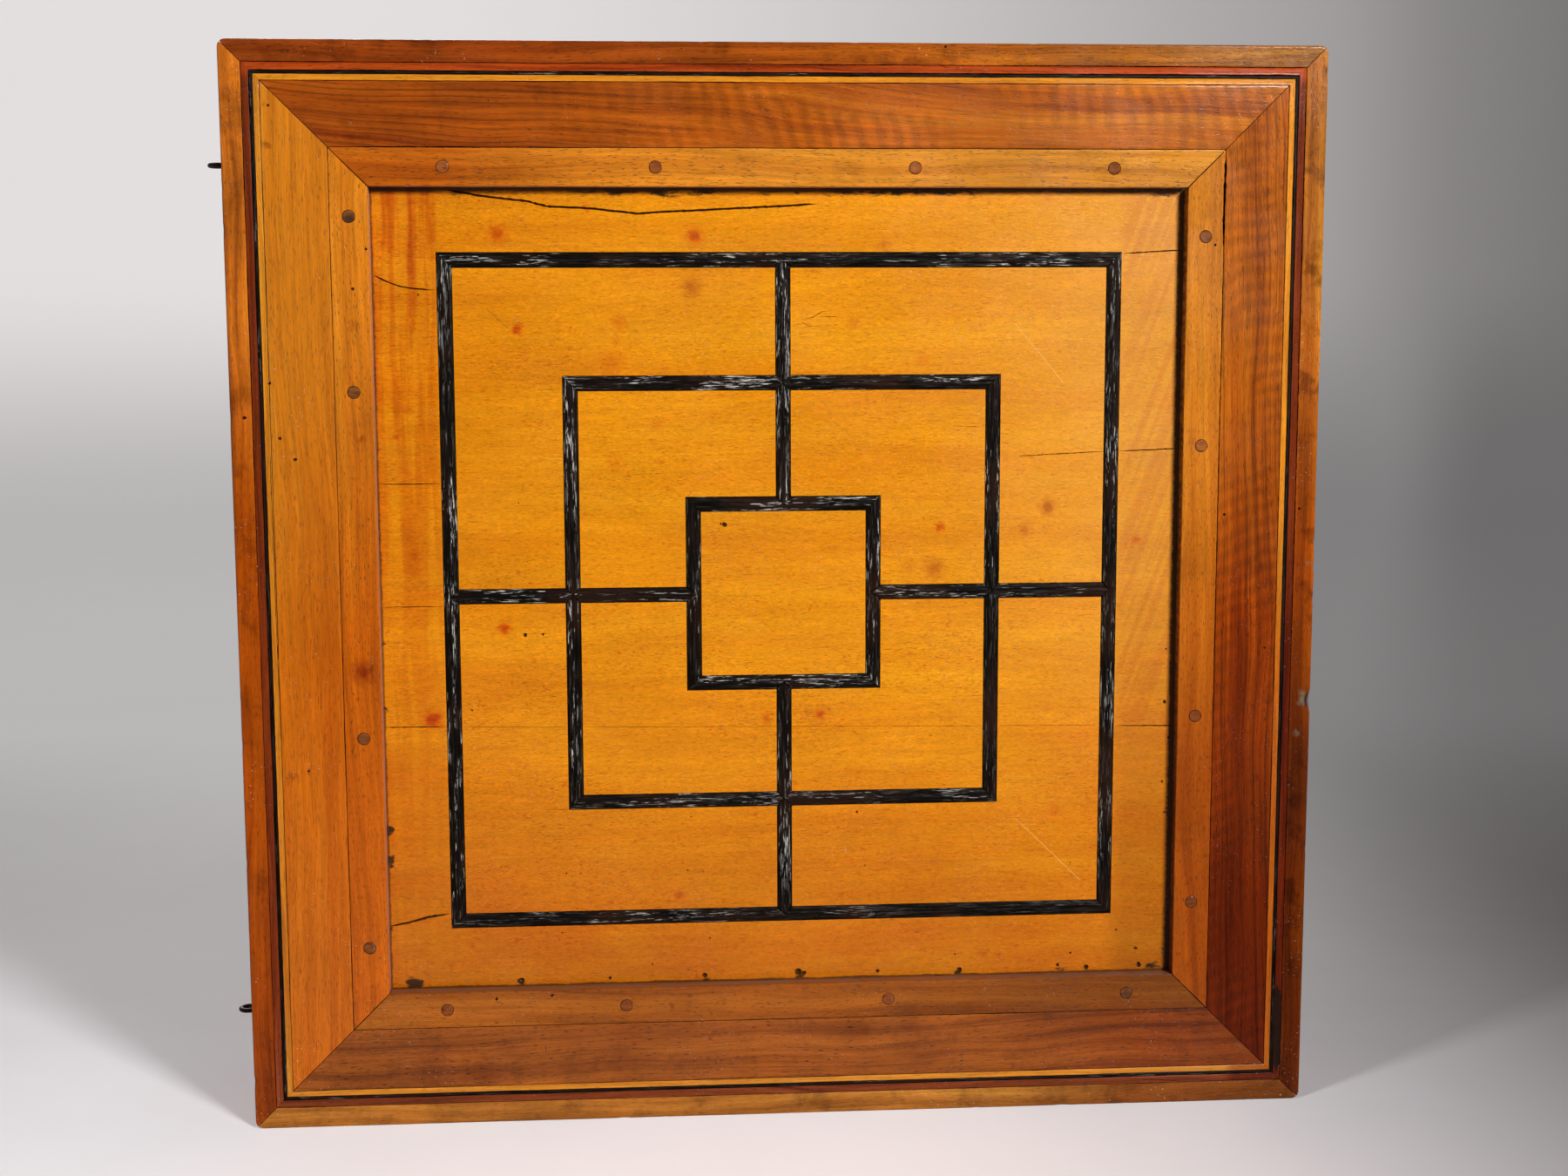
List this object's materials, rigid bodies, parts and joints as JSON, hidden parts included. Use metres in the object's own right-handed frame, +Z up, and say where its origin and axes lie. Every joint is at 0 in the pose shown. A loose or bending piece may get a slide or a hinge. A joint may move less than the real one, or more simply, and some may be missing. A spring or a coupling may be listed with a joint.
{
  "type": "folding games board box",
  "caption": "Square wooden games box of two hinged trays: nine men's morris on one face, a chess field on the other, backgammon points inside, closed by wire hooks.",
  "frame": {"origin": "middle of the base of the closed, upright box, on the plane where the two trays meet", "axes": "+X to the hinges, +Y from the mill face to the chess face, +Z up"},
  "size_m": [0.4646, 0.0845, 0.45],
  "materials": {
    "rim_wood": "waxed, worn satin",
    "dark_border": "waxed, worn satin",
    "light_border": "waxed, worn satin",
    "strip_wood": "waxed, worn satin",
    "field_wood": "waxed satin",
    "peg_wood": "end grain, dry",
    "ebonised": "polished",
    "red_string": "stained, satin",
    "light_string": "satin",
    "walnut_inlay": "satin",
    "hinge_brass": "aged, dull",
    "wire_iron": "blackened"
  },
  "bodies": {
    "chess_half": {"chess_bottom_wall": "rim_wood", "chess_right_wall": "rim_wood", "chess_top_wall": "rim_wood", "chess_left_wall": "rim_wood", "chess_plank_1": "field_wood", "chess_plank_2": "field_wood", "chess_plank_3": "field_wood", "chess_plank_4": "field_wood", "chess_bottom_border": "dark_border", "chess_right_border": "dark_border", "chess_top_border": "dark_border", "chess_left_border": "dark_border", "chess_black_string": "ebonised", "chess_light_string": "light_string", "chess_field_line": "ebonised", "chess_dark_squares": "walnut_inlay", "chess_light_squares": "light_string", "chess_dark_points": "walnut_inlay", "chess_light_points": "light_string", "upper_rear_leaf": "hinge_brass", "lower_rear_leaf": "hinge_brass", "hinge_pins": "hinge_brass", "rear_hinge_screws": "hinge_brass", "rear_eyes": "wire_iron"},
    "mill_half": {"mill_bottom_wall": "rim_wood", "mill_right_wall": "rim_wood", "mill_top_wall": "rim_wood", "mill_left_wall": "rim_wood", "mill_plank_1": "field_wood", "mill_plank_2": "field_wood", "mill_plank_3": "field_wood", "mill_plank_4": "field_wood", "mill_plank_5": "field_wood", "mill_plank_6": "field_wood", "mill_bottom_border": "dark_border", "mill_right_border": "dark_border", "mill_top_border": "dark_border", "mill_left_border": "light_border", "mill_bottom_strip": "strip_wood", "mill_right_strip": "strip_wood", "mill_top_strip": "strip_wood", "mill_left_strip": "strip_wood", "mill_pegs": "peg_wood", "mill_red_string": "red_string", "mill_black_string": "ebonised", "mill_light_string": "light_string", "mill_outer_square": "ebonised", "mill_middle_square": "ebonised", "mill_inner_square": "ebonised", "mill_spokes": "ebonised", "mill_dark_points": "walnut_inlay", "mill_light_points": "light_string", "upper_front_leaf": "hinge_brass", "lower_front_leaf": "hinge_brass", "front_hinge_screws": "hinge_brass", "front_eyes": "wire_iron"},
    "upper_hook": {"upper_hook": "wire_iron"},
    "lower_hook": {"lower_hook": "wire_iron"}
  },
  "joints": [
    {"name": "case_hinge", "type": "hinge", "parent": "chess_half", "child": "mill_half", "pos_m": [0.2278, 0, 0.225], "axis": [0, 0, 1], "range_deg": [0, 180]},
    {"name": "upper_hook_swing", "type": "hinge", "parent": "chess_half", "child": "upper_hook", "pos_m": [-0.2302, 0.01805, 0.4018], "axis": [-1, 0, 0], "range_deg": [-65, 86]},
    {"name": "lower_hook_swing", "type": "hinge", "parent": "chess_half", "child": "lower_hook", "pos_m": [-0.2302, 0.01805, 0.0458], "axis": [-1, 0, 0], "range_deg": [-65, 86]}
  ]
}
